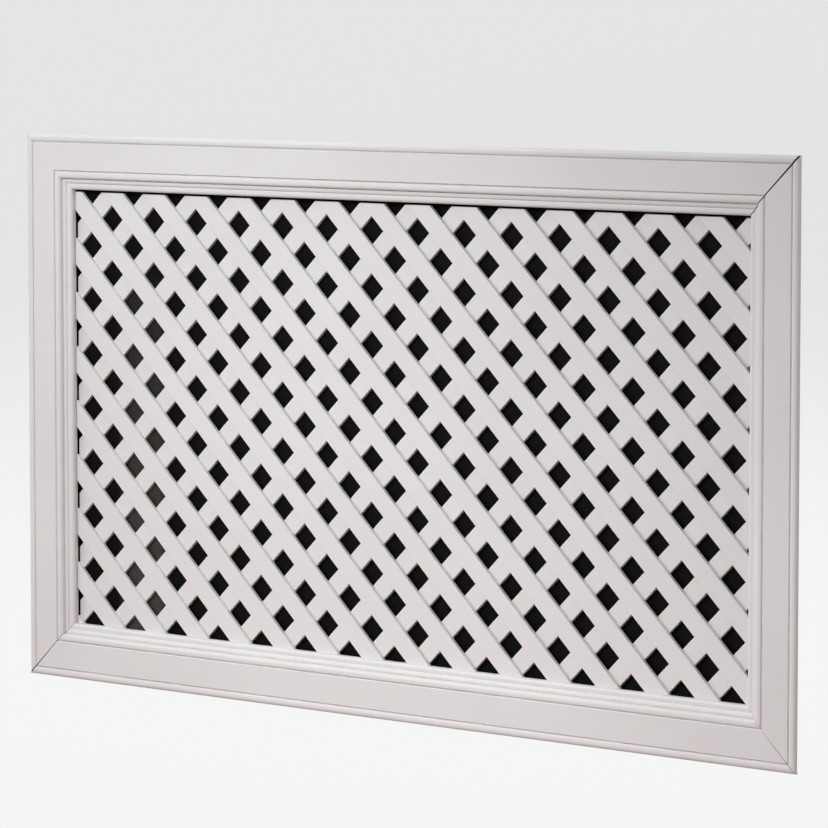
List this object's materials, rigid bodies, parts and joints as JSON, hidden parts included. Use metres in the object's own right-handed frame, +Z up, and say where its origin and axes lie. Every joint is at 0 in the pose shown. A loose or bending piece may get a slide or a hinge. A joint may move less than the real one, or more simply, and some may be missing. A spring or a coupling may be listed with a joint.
{
  "type": "radiator lattice screen",
  "caption": "White moulded frame with mitred corners round a diagonal two-layer lattice over a black sheet, with hooks that hang it in front of a radiator.",
  "frame": {"origin": "midway between the two hanging hooks, on the saddles that rest on the radiator", "axes": "+X to the right along the screen, +Y from the room towards the radiator, +Z up"},
  "size_m": [1, 0.0514, 0.6],
  "materials": {
    "rail_paint": "satin white paint",
    "lath_paint": "satin white paint",
    "bare_wood": "bare birch",
    "black_sheet": "matt black powder coat, finely perforated",
    "zinc_steel": "bright zinc plate"
  },
  "bodies": {
    "screen": {"top_rail": "rail_paint", "bottom_rail": "rail_paint", "left_rail": "rail_paint", "right_rail": "rail_paint", "mitre_splines": "bare_wood", "front_lath_01": "lath_paint", "front_lath_02": "lath_paint", "front_lath_03": "lath_paint", "front_lath_04": "lath_paint", "front_lath_05": "lath_paint", "front_lath_06": "lath_paint", "front_lath_07": "lath_paint", "front_lath_08": "lath_paint", "front_lath_09": "lath_paint", "front_lath_10": "lath_paint", "front_lath_11": "lath_paint", "front_lath_12": "lath_paint", "front_lath_13": "lath_paint", "front_lath_14": "lath_paint", "front_lath_15": "lath_paint", "front_lath_16": "lath_paint", "front_lath_17": "lath_paint", "front_lath_18": "lath_paint", "front_lath_19": "lath_paint", "front_lath_20": "lath_paint", "front_lath_21": "lath_paint", "front_lath_22": "lath_paint", "front_lath_23": "lath_paint", "back_lath_01": "lath_paint", "back_lath_02": "lath_paint", "back_lath_03": "lath_paint", "back_lath_04": "lath_paint", "back_lath_05": "lath_paint", "back_lath_06": "lath_paint", "back_lath_07": "lath_paint", "back_lath_08": "lath_paint", "back_lath_09": "lath_paint", "back_lath_10": "lath_paint", "back_lath_11": "lath_paint", "back_lath_12": "lath_paint", "back_lath_13": "lath_paint", "back_lath_14": "lath_paint", "back_lath_15": "lath_paint", "back_lath_16": "lath_paint", "back_lath_17": "lath_paint", "back_lath_18": "lath_paint", "back_lath_19": "lath_paint", "back_lath_20": "lath_paint", "back_lath_21": "lath_paint", "back_lath_22": "lath_paint", "back_lath_23": "lath_paint", "backing_tray": "black_sheet", "hanging_hooks": "zinc_steel", "wood_screws": "zinc_steel"},
    "top_left_button": {"top_left_turn_button": "zinc_steel"},
    "top_right_button": {"top_right_turn_button": "zinc_steel"},
    "bottom_left_button": {"bottom_left_turn_button": "zinc_steel"},
    "bottom_right_button": {"bottom_right_turn_button": "zinc_steel"}
  },
  "joints": [
    {"name": "top_left_button_swivel", "type": "hinge", "parent": "screen", "child": "top_left_button", "pos_m": [-0.22, -0.01345, -0.0185], "axis": [0, 1, 0], "continuous": true},
    {"name": "top_right_button_swivel", "type": "hinge", "parent": "screen", "child": "top_right_button", "pos_m": [0.22, -0.01345, -0.0185], "axis": [0, 1, 0], "continuous": true},
    {"name": "bottom_left_button_swivel", "type": "hinge", "parent": "screen", "child": "bottom_left_button", "pos_m": [-0.22, -0.01345, -0.5485], "axis": [0, 1, 0], "continuous": true},
    {"name": "bottom_right_button_swivel", "type": "hinge", "parent": "screen", "child": "bottom_right_button", "pos_m": [0.22, -0.01345, -0.5485], "axis": [0, 1, 0], "continuous": true}
  ]
}
